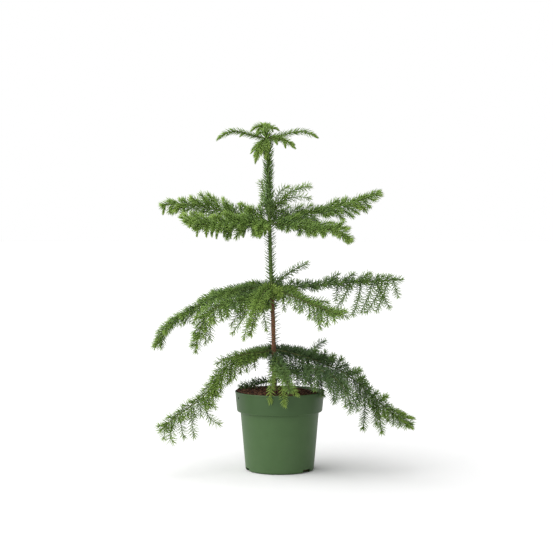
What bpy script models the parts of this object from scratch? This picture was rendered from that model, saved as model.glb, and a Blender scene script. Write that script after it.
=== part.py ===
"""A potted Norfolk Island pine, a small conifer with five tiers of level boughs.

Metres, +Z up.  The origin is the centre of the pot's flat underside.  An azimuth is measured from +X
towards +Y, and a pitch upwards from level, both in degrees.  The plant is one stem that stays whole
from the soil to its tip, a short limb for each bough, and a closed solid for each spray of foliage.
"""
import math
import random

import bmesh
import bpy
import numpy as np
from mathutils import Vector

GAP = 0.0003                    # clearance between solids that touch

# Nursery pot: a tapering body under a wider collar
POT_HEIGHT = 0.133
RIM_RADIUS = 0.075
COLLAR_HEIGHT = 0.034
COLLAR_FOOT_RADIUS = 0.0718
BODY_TOP_RADIUS = 0.0659
BASE_RADIUS = 0.0577
BASE_FILLET = 0.0038
WALL = 0.0012
FLOOR = 0.0016
TURN_STEPS = 48

DRAIN_AZIMUTHS = (78, 198, 322)
DRAIN_WIDTH = 0.020
DRAIN_HEIGHT = 0.0055
DRAIN_DEPTH = 0.009

HANGER_AZIMUTHS = (22, 202)     # two small holes in the collar, opposite each other
HANGER_DIAMETER = 0.0042
HANGER_DROP = 0.0095            # below the rim

# Soil: fills the pot and is heaped a little towards -X
SOIL_CROWN = 0.1358
SOIL_EDGE = 0.1312
SOIL_TILT = 0.058

# Stem: diameter, root flare and the line of its centre, as height and offset along X
STEM_FOOT = SOIL_CROWN + 0.0007
STEM_TIP = 0.573
STEM_RADIUS = 0.0039
STEM_TIP_RADIUS = 0.0021
FLARE = 0.0020
FLARE_HEIGHT = 0.006
STEM_LINE = ((0.135, -0.009), (0.150, -0.009), (0.250, -0.011), (0.350, -0.0155),
             (0.500, -0.0192), (0.545, -0.0196), (0.573, -0.0226))

# Boughs
LIMB_RADIUS = 0.0014            # where a limb leaves the stem
LIMB_TIP_RADIUS = 0.0010
LIMB_REACH = 0.016              # from the stem's centre to the foliage
SPRAY_THICKNESS = 0.018
TOP_SPRAY_DEPTH = 0.0014        # half the depth of a top spray where it meets the stem
STATIONS = 10                   # rings of a spray's loft, less one
RING = 8                        # points of a ring
LINE_POINTS = 40

# name: height on the stem, length, azimuths, pitches (evenly spaced from stem to tip),
#       half width, hang of the edges
BOUGHS = {
    "base_left": (0.155, 0.064, (168, 172), (-4, -12, -10), 0.018, 0.004),
    "base_right": (0.166, 0.190, (-38, -42), (4, 10, -26, -78), 0.032, 0.020),
    "low_left": (0.203, 0.248, (196, 208, 212), (-18, 0, -43, -54, -32, -29, -40), 0.048, 0.042),
    "low_left_back": (0.200, 0.105, (165, 160), (-8, -8, -30), 0.028, 0.020),
    "low_far": (0.203, 0.165, (114, 108), (-6, -13, -18), 0.036, 0.024),
    "low_back": (0.201, 0.165, (60, 48), (-4, -12, -15), 0.034, 0.022),
    "low_right": (0.203, 0.267, (-8, -20), (-11, -15, -23, -41, -40, -18), 0.052, 0.050),
    "low_front": (0.196, 0.128, (280, 286), (-15, -15, -50), 0.034, 0.016),
    "middle_left": (0.307, 0.226, (186, 192), (-2, -8, -30, -30, -88), 0.042, 0.036),
    "middle_left_front": (0.304, 0.204, (222, 212), (-24, -11, -5, -58, -88), 0.040, 0.034),
    "middle_front": (0.307, 0.142, (250, 258), (0, -36, -52), 0.036, 0.026),
    "middle_right_front": (0.305, 0.155, (310, 325), (-10, -16, -15), 0.034, 0.030),
    "middle_right": (0.307, 0.225, (15, 5), (-2, 5, 4, 2), 0.048, 0.045),
    "middle_back_right": (0.309, 0.119, (65, 50), (19, 18, 12), 0.016, 0.002),
    "middle_back": (0.307, 0.165, (98, 96), (0, -12, -35), 0.030, 0.020),
    "middle_back_left": (0.304, 0.146, (140, 150), (26, -14, -16, -13), 0.034, 0.022),
    "upper_right": (0.416, 0.200, (20, 10), (15, 12, 12, 25), 0.044, 0.012),
    "upper_back_right": (0.419, 0.138, (60, 50), (50, 36, 16, 2), 0.022, 0.004),
    "upper_back_left": (0.418, 0.090, (108, 102), (60, 54, 30), 0.022, 0.003),
    "upper_left": (0.416, 0.188, (165, 175), (24, 9, 11, 8, -6), 0.042, 0.010),
    "upper_left_front": (0.413, 0.157, (215, 205), (3, -6, 4, 10), 0.038, 0.022),
    "upper_front": (0.416, 0.076, (252, 262), (-4, -12, -26), 0.026, 0.006),
    "upper_right_front": (0.413, 0.160, (320, 335), (3, -11, -4, 4, -64), 0.034, 0.014),
    "top_right": (0.556, 0.084, (-5, -5), (10, 16, -34), 0.012, 0.004),
    "top_back_right": (0.557, 0.034, (58, 62), (8, 0, -20), 0.012, 0.003),
    "top_back": (0.560, 0.048, (100, 96), (55, 30, -25), 0.018, 0.006),
    "top_left": (0.556, 0.085, (185, 185), (10, 17, -44), 0.012, 0.004),
    "top_front": (0.556, 0.048, (240, 246), (-14, -46, -72), 0.018, 0.006),
    "top_right_front": (0.556, 0.057, (325, 325), (2, -10, -45), 0.012, 0.003),
}
# Long drooping sprays are two solids, parted at this share of the length
PARTED_AT = {"low_left": 0.5, "low_right": 0.5, "middle_left": 0.6, "middle_left_front": 0.6}


def clear_scene():
    for item in list(bpy.data.objects):
        bpy.data.objects.remove(item)


def new_collection(name):
    collection = bpy.data.collections.new(name)
    bpy.context.scene.collection.children.link(collection)
    return collection


def new_material(name, colour, roughness):
    material = bpy.data.materials.new(name)
    material.use_nodes = True
    shader = material.node_tree.nodes["Principled BSDF"]
    shader.inputs["Base Color"].default_value = (*colour, 1.0)
    shader.inputs["Roughness"].default_value = roughness
    shader.inputs["Metallic"].default_value = 0.0
    return material


def new_object(name, data, material, collection):
    item = bpy.data.objects.new(name, data)
    data.materials.append(material)
    collection.objects.link(item)
    return item


def turned(name, profile, material, collection):
    """A solid of revolution; the profile is (radius, height) pairs, down its outer side."""
    mesh = bpy.data.meshes.new(name)
    edges = [(i, i + 1) for i in range(len(profile) - 1)]
    mesh.from_pydata([(radius, 0.0, height) for radius, height in profile], edges, [])
    item = new_object(name, mesh, material, collection)
    screw = item.modifiers.new("turn", 'SCREW')
    screw.steps = TURN_STEPS
    screw.render_steps = TURN_STEPS
    screw.use_merge_vertices = True
    screw.merge_threshold = 0.0001
    return item


def cut(item, cutter):
    boolean = item.modifiers.new(f"cut {cutter.name}", 'BOOLEAN')
    boolean.operation = 'DIFFERENCE'
    boolean.solver = 'EXACT'
    boolean.object = cutter


def hide_cutter(cutter, cutters):
    for collection in list(cutter.users_collection):
        collection.objects.unlink(cutter)
    cutters.objects.link(cutter)
    cutter.hide_render = True
    cutter.display_type = 'WIRE'


def fillet(centre, radius, start, end, steps=4):
    """Points on an arc, from one angle to the other in degrees."""
    points = []
    for i in range(steps + 1):
        angle = math.radians(start + (end - start) * i / steps)
        points.append((centre[0] + radius * math.cos(angle), centre[1] + radius * math.sin(angle)))
    return points


def pot_profile(inset=0.0):
    """Outer side of the pot from rim to underside, moved inwards by a wall or a clearance."""
    collar_foot = POT_HEIGHT - COLLAR_HEIGHT
    shoulder = 0.0024
    return [
        (RIM_RADIUS - inset, POT_HEIGHT),
        (COLLAR_FOOT_RADIUS + 0.0002 - inset, collar_foot + shoulder),
        (COLLAR_FOOT_RADIUS - 0.0022 - inset, collar_foot),
        (BODY_TOP_RADIUS - inset, collar_foot - 0.0004),
    ]


def make_pot(material, collection, cutters):
    outer = pot_profile()
    outer[0] = (RIM_RADIUS, POT_HEIGHT - 0.0003)
    outer += fillet((BASE_RADIUS - BASE_FILLET, BASE_FILLET), BASE_FILLET, 0, -90)
    inner = pot_profile(WALL)
    inner[0] = (RIM_RADIUS - WALL, POT_HEIGHT - 0.0003)
    inner += fillet((BASE_RADIUS - BASE_FILLET - WALL, FLOOR + 0.003), 0.003, 0, -90, steps=2)
    rim = [(RIM_RADIUS - 0.7 * WALL, POT_HEIGHT), (RIM_RADIUS - 0.3 * WALL, POT_HEIGHT)]
    profile = [(0.0, FLOOR)] + inner[::-1] + rim + outer + [(0.0, 0.0)]
    pot = turned("pot", profile, material, collection)

    for i, azimuth in enumerate(DRAIN_AZIMUTHS):
        angle = math.radians(azimuth)
        reach = BASE_RADIUS - DRAIN_DEPTH / 2 + 0.001
        place = (reach * math.cos(angle), reach * math.sin(angle), DRAIN_HEIGHT / 2 - 0.001)
        bpy.ops.mesh.primitive_cube_add(size=1.0, location=place, rotation=(0.0, 0.0, angle))
        drain = bpy.context.object
        drain.name = f"cut_drain_{i + 1}"
        drain.scale = (DRAIN_DEPTH, DRAIN_WIDTH, DRAIN_HEIGHT + 0.002)
        hide_cutter(drain, cutters)
        cut(pot, drain)

    for i, azimuth in enumerate(HANGER_AZIMUTHS):
        angle = math.radians(azimuth)
        height = POT_HEIGHT - HANGER_DROP
        place = (RIM_RADIUS * math.cos(angle), RIM_RADIUS * math.sin(angle), height)
        bpy.ops.mesh.primitive_cylinder_add(vertices=12, radius=HANGER_DIAMETER / 2, depth=0.012,
                                            location=place, rotation=(0.0, math.pi / 2, angle))
        hole = bpy.context.object
        hole.name = f"cut_hanger_{i + 1}"
        hide_cutter(hole, cutters)
        cut(pot, hole)
    return pot


def make_soil(material, collection):
    """The root ball's soil, which takes the pot's inner shape and is heaped on one side."""
    inset = WALL + GAP + 0.0003
    side = pot_profile(inset)
    rim_radius, collar_radius = side[0][0], side[1][0]
    share = (SOIL_EDGE - side[1][1]) / (POT_HEIGHT - side[1][1])
    edge_radius = collar_radius + share * (rim_radius - collar_radius) - 0.0003
    crown = []
    for i in range(4):
        radius = edge_radius * i / 3
        fall = (i / 3) ** 2 * (SOIL_CROWN - SOIL_EDGE)
        crown.append((radius, SOIL_CROWN - fall))
    foot_radius = BASE_RADIUS - BASE_FILLET - inset
    foot = fillet((foot_radius, FLOOR + 0.0006 + 0.003), 0.003, 0, -90, steps=2)
    profile = crown + side[1:] + foot + [(0.0, FLOOR + 0.0006)]
    blank = turned("soil_blank", profile, material, collection)

    graph = bpy.context.evaluated_depsgraph_get()
    mesh = bpy.data.meshes.new_from_object(blank.evaluated_get(graph))
    bpy.data.objects.remove(blank)
    mesh.name = "soil"
    for vertex in mesh.vertices:
        if vertex.co.z > SOIL_EDGE - 0.001:
            vertex.co.z -= SOIL_TILT * vertex.co.x
    soil = bpy.data.objects.new("soil", mesh)
    collection.objects.link(soil)
    return soil


def stem_centre(height):
    heights = [point[0] for point in STEM_LINE]
    offsets = [point[1] for point in STEM_LINE]
    return Vector((float(np.interp(height, heights, offsets)), 0.0, height))


def stem_radius(height):
    share = (height - STEM_FOOT) / (STEM_TIP - STEM_FOOT)
    flare = FLARE * math.exp(-(height - STEM_FOOT) / FLARE_HEIGHT)
    return STEM_RADIUS + share * (STEM_TIP_RADIUS - STEM_RADIUS) + flare


def tube(name, points, radii, material, collection):
    """A round, tapering limb with flat ends."""
    curve = bpy.data.curves.new(name, 'CURVE')
    curve.dimensions = '3D'
    curve.fill_mode = 'FULL'
    curve.bevel_depth = radii[0]
    curve.bevel_resolution = 2
    curve.use_fill_caps = True
    spline = curve.splines.new('POLY')
    spline.points.add(len(points) - 1)
    for slot, point, radius in zip(spline.points, points, radii):
        slot.co = (*point, 1.0)
        slot.radius = radius / radii[0]
    return new_object(name, curve, material, collection)


def make_stem(material, collection):
    heights = [STEM_FOOT, STEM_FOOT + 0.004, STEM_FOOT + 0.010]
    for low, high in zip(STEM_LINE[1:], STEM_LINE[2:]):
        heights += [low[0], (low[0] + high[0]) / 2]
    heights.append(STEM_TIP)
    points = [stem_centre(height) for height in heights]
    radii = [stem_radius(height) for height in heights]
    return tube("trunk", points, radii, material, collection)


def direction(azimuth, pitch):
    azimuth = math.radians(azimuth)
    pitch = math.radians(pitch)
    level = math.cos(pitch)
    return Vector((level * math.cos(azimuth), level * math.sin(azimuth), math.sin(pitch)))


def bough_line(name):
    """Points along a bough's centre, from the stem's centre to the tip."""
    height, length, azimuths, pitches = BOUGHS[name][:4]
    line = [stem_centre(height)]
    for i in range(LINE_POINTS):
        share = (i + 0.5) / LINE_POINTS
        azimuth = np.interp(share, np.linspace(0, 1, len(azimuths)), azimuths)
        pitch = np.interp(share, np.linspace(0, 1, len(pitches)), pitches)
        line.append(line[-1] + direction(azimuth, pitch) * (length / LINE_POINTS))
    return line


def along(line, distance):
    """The point and the heading at a distance from the start of a line of even steps."""
    step = (line[1] - line[0]).length
    place = min(max(distance / step, 0.0), len(line) - 1.001)
    i = int(place)
    heading = (line[i + 1] - line[i]).normalized()
    return line[i] + (line[i + 1] - line[i]) * (place - i), heading


def room(point, side, name, lines):
    """Half the way to the nearest neighbouring bough on one side."""
    nearest = 1.0
    for other, line in lines.items():
        if other == name:
            continue
        for place in line[1:]:
            away = place - point
            if away.dot(side) > -0.2 * away.length:
                nearest = min(nearest, away.length)
    return 0.44 * nearest


def spray_rings(name, line, start, lines):
    """Rings of a flat, tapering pad whose edges hang and whose outline is uneven."""
    length = BOUGHS[name][1]
    half_width, hang = BOUGHS[name][4:]
    chance = random.Random(name)
    rings = []
    for i in range(STATIONS + 1):
        share = i / STATIONS
        point, heading = along(line, start + (length - start) * share)
        across = heading.cross(Vector((0, 0, 1))).normalized()
        normal = across.cross(heading)
        swell = 0.14 + 0.86 * math.sin(math.pi * share ** 0.85) ** 0.8
        lobe = 1.0 + (0.10 if i % 2 else -0.08)
        widths = []
        for side in (across, -across):
            wanted = half_width * swell * lobe * chance.uniform(0.9, 1.1)
            widths.append(min(wanted, room(point, side, name, lines)))
        thickness = min(SPRAY_THICKNESS / 2 * (0.35 + 0.65 * swell), 0.9 * min(widths))
        ring = []
        for k in range(RING):
            angle = 2 * math.pi * k / RING
            reach = math.cos(angle) * widths[0 if math.cos(angle) > 0 else 1]
            lift = math.sin(angle) * thickness * chance.uniform(0.9, 1.1)
            lift -= hang * (abs(reach) / half_width) ** 1.5
            ring.append(point + across * reach + normal * lift)
        rings.append((ring, heading))
    return rings


def loft(name, rings, material, collection):
    mesh = bpy.data.meshes.new(name)
    shape = bmesh.new()
    loops = [[shape.verts.new(point) for point in ring] for ring in rings]
    for first, second in zip(loops, loops[1:]):
        for k in range(RING):
            following = (k + 1) % RING
            shape.faces.new((first[k], second[k], second[following], first[following]))
    shape.faces.new(loops[0])
    shape.faces.new(loops[-1][::-1])
    bmesh.ops.triangulate(shape, faces=shape.faces)
    bmesh.ops.recalc_face_normals(shape, faces=shape.faces)
    shape.to_mesh(mesh)
    shape.free()
    return new_object(name, mesh, material, collection)


def make_spray(name, line, start, lines, material, collection):
    rings = spray_rings(name, line, start, lines)
    if name not in PARTED_AT:
        return [loft(f"spray_{name}", [ring for ring, heading in rings], material, collection)]
    middle = round(PARTED_AT[name] * STATIONS)
    ring, heading = rings[middle]
    inner = [ring for ring, heading in rings[:middle]]
    inner.append([point - heading * GAP / 2 for point in ring])
    outer = [[point + heading * GAP / 2 for point in ring]]
    outer += [ring for ring, heading in rings[middle + 1:]]
    return [loft(f"spray_{name}_inner", inner, material, collection),
            loft(f"spray_{name}_outer", outer, material, collection)]


def clear_of_stem(name, half_depth):
    """How far along a bough an end of this half depth clears the stem's bark."""
    pitch = math.radians(abs(BOUGHS[name][3][0]))
    outside = stem_radius(BOUGHS[name][0]) + GAP + 0.0001
    return (outside + half_depth * math.sin(pitch)) / math.cos(pitch)


def make_limb(name, line, reach, material, collection):
    """The bare part of a bough, from the stem's bark to the foliage."""
    steps = 3
    start = clear_of_stem(name, LIMB_RADIUS)
    places = [start + (reach - GAP - start) * i / steps for i in range(steps + 1)]
    points = [along(line, place)[0] for place in places]
    radii = [LIMB_RADIUS + (LIMB_TIP_RADIUS - LIMB_RADIUS) * i / steps for i in range(steps + 1)]
    return tube(f"bough_{name}", points, radii, material, collection)


def make_plant(bark, needles, collection):
    make_stem(bark, collection)
    lines = {name: bough_line(name) for name in BOUGHS}
    for name, line in lines.items():
        if name.startswith("top"):
            start = clear_of_stem(name, TOP_SPRAY_DEPTH)
        else:
            start = LIMB_REACH
            make_limb(name, line, start, bark, collection)
        make_spray(name, line, start, lines, needles, collection)


def main():
    clear_scene()
    parts = new_collection("norfolk_island_pine")
    cutters = new_collection("cutters")
    plastic = new_material("green_plastic", (0.062, 0.127, 0.050), 0.45)
    earth = new_material("potting_mix", (0.045, 0.018, 0.010), 0.95)
    bark = new_material("bark", (0.17, 0.075, 0.040), 0.85)
    needles = new_material("needles", (0.085, 0.19, 0.030), 0.60)

    pot = make_pot(plastic, parts, cutters)
    soil = make_soil(earth, parts)
    make_plant(bark, needles, parts)

    root = bpy.data.objects.new("potted_plant", None)
    parts.objects.link(root)
    for item in list(parts.objects):
        if item is not root:
            item.parent = root
    for item in (pot, soil):
        item.data.shade_smooth()


main()
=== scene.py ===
"""A young Norfolk Island pine, an indoor conifer, in the green nursery pot that it is sold in.

The plant has one stem with five tiers of boughs.  Each bough is an arching axis with a row of needled
shoots down either side.  Azimuths are in degrees from +X towards +Y and pitches upwards from level.
"""
import math

import bmesh
import bpy
import numpy as np
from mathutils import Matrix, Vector, noise


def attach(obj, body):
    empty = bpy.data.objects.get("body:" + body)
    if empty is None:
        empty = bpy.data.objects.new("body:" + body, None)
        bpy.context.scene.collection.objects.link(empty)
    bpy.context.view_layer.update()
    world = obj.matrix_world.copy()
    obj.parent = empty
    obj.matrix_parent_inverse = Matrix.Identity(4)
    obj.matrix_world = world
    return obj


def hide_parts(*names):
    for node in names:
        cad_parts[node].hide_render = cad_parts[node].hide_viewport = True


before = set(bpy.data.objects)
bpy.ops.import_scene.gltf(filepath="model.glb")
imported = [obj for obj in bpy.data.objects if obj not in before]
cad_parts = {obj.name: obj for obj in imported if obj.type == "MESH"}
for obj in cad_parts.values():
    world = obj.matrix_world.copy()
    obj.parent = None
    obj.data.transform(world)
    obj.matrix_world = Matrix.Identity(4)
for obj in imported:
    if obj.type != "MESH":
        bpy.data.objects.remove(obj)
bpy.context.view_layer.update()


# The view.  The eye is level with the upper tier and two and a half metres off, and looks down by a
# couple of degrees, through a long lens.
eye_distance = 2.5
eye_height = 0.430
eye_offset = -0.0054
look_down = 2.4
lens_length = 97.1

camera_data = bpy.data.cameras.new("camera")
camera_data.lens = lens_length
camera_data.sensor_width = 36.0
camera = bpy.data.objects.new("camera", camera_data)
camera.location = (eye_offset, -eye_distance, eye_height)
camera.rotation_euler = (math.radians(90 - look_down), 0.0, 0.0)
bpy.context.collection.objects.link(camera)
bpy.context.scene.camera = camera


# The studio.  A white table, white surroundings and one large soft light from the left, high and a
# little to the front.  The surroundings are plain white to the eye and dimmer as a light.
sky_light = 0.57
sun_azimuth = 195
sun_height = 40
sun_spread = 110
sun_strength = 4.85
table_size = 40.0
table_drop = 0.0002
table_white = (0.715, 0.715, 0.715, 1.0)

world = bpy.data.worlds.new("white_surroundings")
world.use_nodes = True
world_nodes = world.node_tree.nodes
world_links = world.node_tree.links
white = world_nodes.new('ShaderNodeBackground')
white.inputs["Strength"].default_value = 1.0
white.inputs["Color"].default_value = (1.0, 1.0, 1.0, 1.0)
dim = world_nodes["Background"]
dim.inputs["Color"].default_value = (1.0, 1.0, 1.0, 1.0)
dim.inputs["Strength"].default_value = sky_light
choice = world_nodes.new('ShaderNodeMixShader')
ray = world_nodes.new('ShaderNodeLightPath')
world_links.new(ray.outputs["Is Camera Ray"], choice.inputs[0])
world_links.new(dim.outputs[0], choice.inputs[1])
world_links.new(white.outputs[0], choice.inputs[2])
world_links.new(choice.outputs[0], world_nodes["World Output"].inputs["Surface"])
bpy.context.scene.world = world
bpy.context.scene.view_settings.view_transform = 'Standard'
bpy.context.scene.cycles.filter_width = 1.45
bpy.context.scene.cycles.denoising_prefilter = 'NONE'

bpy.ops.mesh.primitive_plane_add(size=table_size, location=(0.0, 0.0, -table_drop))
table = bpy.context.object
table.name = "table"
table_material = bpy.data.materials.new("white_table")
table_material.use_nodes = True
table_shader = table_material.node_tree.nodes["Principled BSDF"]
table_shader.inputs["Base Color"].default_value = table_white
table_shader.inputs["Roughness"].default_value = 0.9
table_shader.inputs["Specular IOR Level"].default_value = 0.0
table.data.materials.append(table_material)

sun = bpy.data.lights.new("soft_sun", 'SUN')
sun.energy = sun_strength
sun.angle = math.radians(sun_spread)
sun_lamp = bpy.data.objects.new("soft_sun", sun)
sun_lamp.rotation_euler = (0.0, math.radians(90 - sun_height), math.radians(sun_azimuth))
bpy.context.collection.objects.link(sun_lamp)


# The pot.  A thin nursery pot of green plastic, injection moulded: a tapering body under a wider
# collar, slots for drainage at the bottom edge and two small holes in the collar for a hanger.
# Handling has left a pale dust on the body; the collar has no dust and is darker, as painted shade from the
# foliage above it.
pot_height = 0.133
rim_radius = 0.075
collar_height = 0.034
collar_foot = pot_height - collar_height
collar_foot_radius = 0.0718
body_top_radius = 0.0659
base_radius = 0.0577
base_fillet = 0.0038
pot_wall = 0.0012
pot_floor = 0.0016
turn_steps = 160
drain_azimuths = (78, 198, 322)
drain_size = (0.009, 0.020, 0.0055)
hanger_azimuths = (22, 202)
hanger_diameter = 0.0042
hanger_drop = 0.0095


class Wire:
    """A socket of a material's nodes.  Arithmetic on values adds Math nodes."""

    def __init__(self, tree, socket=None):
        self.tree = tree
        self.socket = socket

    def node(self, kind, settings, sockets, output=0):
        """Add a node: its settings first, then a value or a link for each socket."""
        made = self.tree.nodes.new(kind)
        for name, value in settings.items():
            if name == "stops":
                for element, (place, colour) in zip(made.color_ramp.elements, value):
                    element.position = place
                    element.color = (*colour, 1.0)
            else:
                setattr(made, name, value)
        for name, value in sockets.items():
            if isinstance(value, Wire):
                self.tree.links.new(value.socket, made.inputs[name])
            else:
                made.inputs[name].default_value = value
        return Wire(self.tree, made.outputs[output])

    def maths(self, operation, first, second):
        return self.node('ShaderNodeMath', {"operation": operation}, {0: first, 1: second})

    def __add__(self, other):
        return self.maths('ADD', self, other)

    def __radd__(self, other):
        return self.maths('ADD', other, self)

    def __sub__(self, other):
        return self.maths('SUBTRACT', self, other)

    def __rsub__(self, other):
        return self.maths('SUBTRACT', other, self)

    def __mul__(self, other):
        return self.maths('MULTIPLY', self, other)

    def __rmul__(self, other):
        return self.maths('MULTIPLY', other, self)

    def clipped(self):
        return self.node('ShaderNodeClamp', {}, {"Value": self})

    def blend(self, low, high):
        """A colour between two, with this value as the share of the second."""
        settings = {"data_type": 'RGBA', "clamp_factor": True}
        return self.node('ShaderNodeMix', settings, {0: self, 6: low, 7: high}, output=2)

    def noise(self, place, scale, detail=3.0, roughness=0.55):
        sockets = {"Vector": place, "Scale": scale, "Detail": detail, "Roughness": roughness}
        return self.node('ShaderNodeTexNoise', {}, sockets)


def new_material(name, constants):
    """A Principled material with its plain values set; returns it, its shader and a first wire."""
    material = bpy.data.materials.new(name)
    material.use_nodes = True
    shader = material.node_tree.nodes["Principled BSDF"]
    for socket, value in constants.items():
        shader.inputs[socket].default_value = value
    return material, shader, Wire(material.node_tree)


def connect(shader, socket, wire):
    wire.tree.links.new(wire.socket, shader.inputs[socket])


def place_of(wires, stretch=(1.0, 1.0, 1.0)):
    """The point of the surface in metres, stretched along each axis."""
    place = wires.node('ShaderNodeTexCoord', {}, {}, output=3)
    sockets = {0: place, 1: stretch}
    return wires.node('ShaderNodeVectorMath', {"operation": 'MULTIPLY'}, sockets)


def arc(centre, radius, start, end, steps):
    points = []
    for i in range(steps + 1):
        angle = math.radians(start + (end - start) * i / steps)
        points.append((centre[0] + radius * math.cos(angle), centre[1] + radius * math.sin(angle)))
    return points


def pot_side(inset):
    """The pot's side from the collar down to the bottom edge, moved inwards."""
    shoulder = arc((collar_foot_radius - 0.0024 - inset, collar_foot + 0.0022), 0.0024, 0, -80, 6)
    neck = arc((body_top_radius + 0.0012 - inset, collar_foot - 0.0014), 0.0012, 100, 180, 4)
    edge = arc((base_radius - base_fillet, base_fillet), base_fillet - inset, 0, -90, 8)
    return shoulder + neck + edge


def turn(name, profile, steps):
    """A solid of revolution from (radius, height) points that run down its outer side."""
    mesh = bpy.data.meshes.new(name)
    edges = [(i, i + 1) for i in range(len(profile) - 1)]
    mesh.from_pydata([(radius, 0.0, height) for radius, height in profile], edges, [])
    item = bpy.data.objects.new(name, mesh)
    bpy.context.collection.objects.link(item)
    screw = item.modifiers.new("turn", 'SCREW')
    screw.steps = steps
    screw.render_steps = steps
    screw.use_merge_vertices = True
    screw.merge_threshold = 0.00001
    return item


def apply_modifiers(item):
    graph = bpy.context.evaluated_depsgraph_get()
    mesh = bpy.data.meshes.new_from_object(item.evaluated_get(graph))
    item.modifiers.clear()
    item.data = mesh
    mesh.name = item.name


bead = 0.00025
lip = 0.0026
outer = [
    (rim_radius - 0.0001 + bead, pot_height - lip * 0.3),
    (rim_radius + bead - 0.0003, pot_height - lip),
    (rim_radius - 0.0004, pot_height - lip * 1.15),
]
rim = [
    (rim_radius - pot_wall * 0.85, pot_height - 0.0003),
    (rim_radius - pot_wall * 0.6, pot_height),
    (rim_radius - pot_wall * 0.2, pot_height),
    (rim_radius - 0.00005, pot_height - 0.00025),
]
inner = [(rim_radius - pot_wall, pot_height - 0.0006)] + pot_side(pot_wall)
inner[-1] = (inner[-1][0], pot_floor)
profile = [(0.0, pot_floor)] + inner[::-1] + rim + outer + pot_side(0.0) + [(0.0, 0.0)]
pot = turn("nursery_pot", profile, turn_steps)

pot_cutters = []
for azimuth in drain_azimuths:
    angle = math.radians(azimuth)
    reach = base_radius - drain_size[0] / 2 + 0.001
    spot = (reach * math.cos(angle), reach * math.sin(angle), drain_size[2] / 2 - 0.001)
    bpy.ops.mesh.primitive_cube_add(size=1.0, location=spot, rotation=(0.0, 0.0, angle))
    bpy.context.object.scale = (drain_size[0], drain_size[1], drain_size[2] + 0.002)
    bevel = bpy.context.object.modifiers.new("soft edge", 'BEVEL')
    bevel.width = 0.05
    bevel.segments = 3
    pot_cutters.append(bpy.context.object)
for azimuth in hanger_azimuths:
    angle = math.radians(azimuth)
    spot = (rim_radius * math.cos(angle), rim_radius * math.sin(angle), pot_height - hanger_drop)
    bpy.ops.mesh.primitive_cylinder_add(vertices=32, radius=hanger_diameter / 2, depth=0.012,
                                        location=spot, rotation=(0.0, math.pi / 2, angle))
    pot_cutters.append(bpy.context.object)
for cutter in pot_cutters:
    boolean = pot.modifiers.new("hole", 'BOOLEAN')
    boolean.operation = 'DIFFERENCE'
    boolean.object = cutter
apply_modifiers(pot)
for cutter in pot_cutters:
    bpy.data.objects.remove(cutter)
pot.data.shade_smooth()
pot.data.set_sharp_from_angle(angle=math.radians(35))

plastic, shader, wires = new_material("green_plastic", {"Roughness": 0.42, "Specular IOR Level": 0.25})
mottle = wires.noise(place_of(wires), 60.0, 4.0)
streaks = wires.noise(place_of(wires, (1.0, 1.0, 0.12)), 110.0, 3.0)
dust = wires.noise(place_of(wires), 9.0, 5.0, 0.65)
flow = mottle * 0.7 + streaks * 0.3
green = flow.blend((0.046, 0.092, 0.031, 1.0), (0.060, 0.116, 0.041, 1.0))
dusty = ((dust - 0.52) * 1.1).clipped().blend(green, (0.085, 0.130, 0.066, 1.0))
height = wires.node('ShaderNodeSeparateXYZ', {}, {0: place_of(wires)}, output=2)
# Painted shade: the collar band is a darker green with no dust, standing in for the shade of the foliage
# above it.
collar_shade_mask = ((height - collar_foot) * 400.0).clipped()
shaded_collar_green = flow.blend((0.036, 0.074, 0.024, 1.0), (0.046, 0.092, 0.032, 1.0))
connect(shader, "Base Color", collar_shade_mask.blend(dusty, shaded_collar_green))
connect(shader, "Roughness", 0.36 + streaks * 0.10 + dust * 0.10)
grain = wires.noise(place_of(wires), 900.0, 2.0)
relief = {"Strength": 0.12, "Distance": 0.0004, "Height": grain + mottle * 2.0}
connect(shader, "Normal", wires.node('ShaderNodeBump', {}, relief))
pot.data.materials.clear()
pot.data.materials.append(plastic)
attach(pot, "root")
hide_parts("pot")


# The soil.  A coarse potting mix of peat and chips of bark, pressed in round the root ball.  It is
# heaped against the left of the rim and sunk a little on the right.
soil_crown = 0.1358
soil_edge = 0.1312
soil_tilt = 0.058
soil_radius = 0.0728
heap_rings = 56
heap_spokes = 180
chip_count = 3000
chip_bed = 0.0012
chip_reach = 0.975 * soil_radius
chip_size = (0.0007, 0.0004, 0.00025)
smallest_chip = 0.0004
largest_chip = 0.006
soil_dice = np.random.default_rng(11)


def soil_height(x, y):
    """The surface of the heap, which lies a chip's depth under the crown."""
    fall = (x * x + y * y) / soil_radius ** 2 * (soil_crown - soil_edge)
    lumps = noise.fractal(Vector((x, y, 0.3)) * 90.0, 0.8, 2.0, 4) * 0.0011
    return soil_crown - fall - soil_tilt * x + lumps - chip_bed


def build_mesh(name, points, faces, material, smooth=True):
    """A mesh object from an array of points and one of triangles or quads."""
    mesh = bpy.data.meshes.new(name)
    corners = faces.shape[1]
    mesh.vertices.add(len(points))
    mesh.vertices.foreach_set("co", np.ascontiguousarray(points, dtype=np.float32).ravel())
    mesh.loops.add(faces.size)
    mesh.loops.foreach_set("vertex_index", np.ascontiguousarray(faces, dtype=np.int32).ravel())
    mesh.polygons.add(len(faces))
    mesh.polygons.foreach_set("loop_start", np.arange(0, faces.size, corners, dtype=np.int32))
    mesh.update(calc_edges=True)
    mesh.validate()
    if smooth:
        mesh.shade_smooth()
    mesh.materials.append(material)
    item = bpy.data.objects.new(name, mesh)
    bpy.context.collection.objects.link(item)
    return item


def strip_faces(rings, around):
    """Quads between rings of points that lie one after another."""
    first = np.arange(rings - 1)[:, None] * around
    here = np.arange(around)[None, :]
    following = (here + 1) % around
    quads = np.stack([first + here, first + following, first + around + following,
                      first + around + here], axis=-1)
    return quads.reshape(-1, 4)


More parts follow.
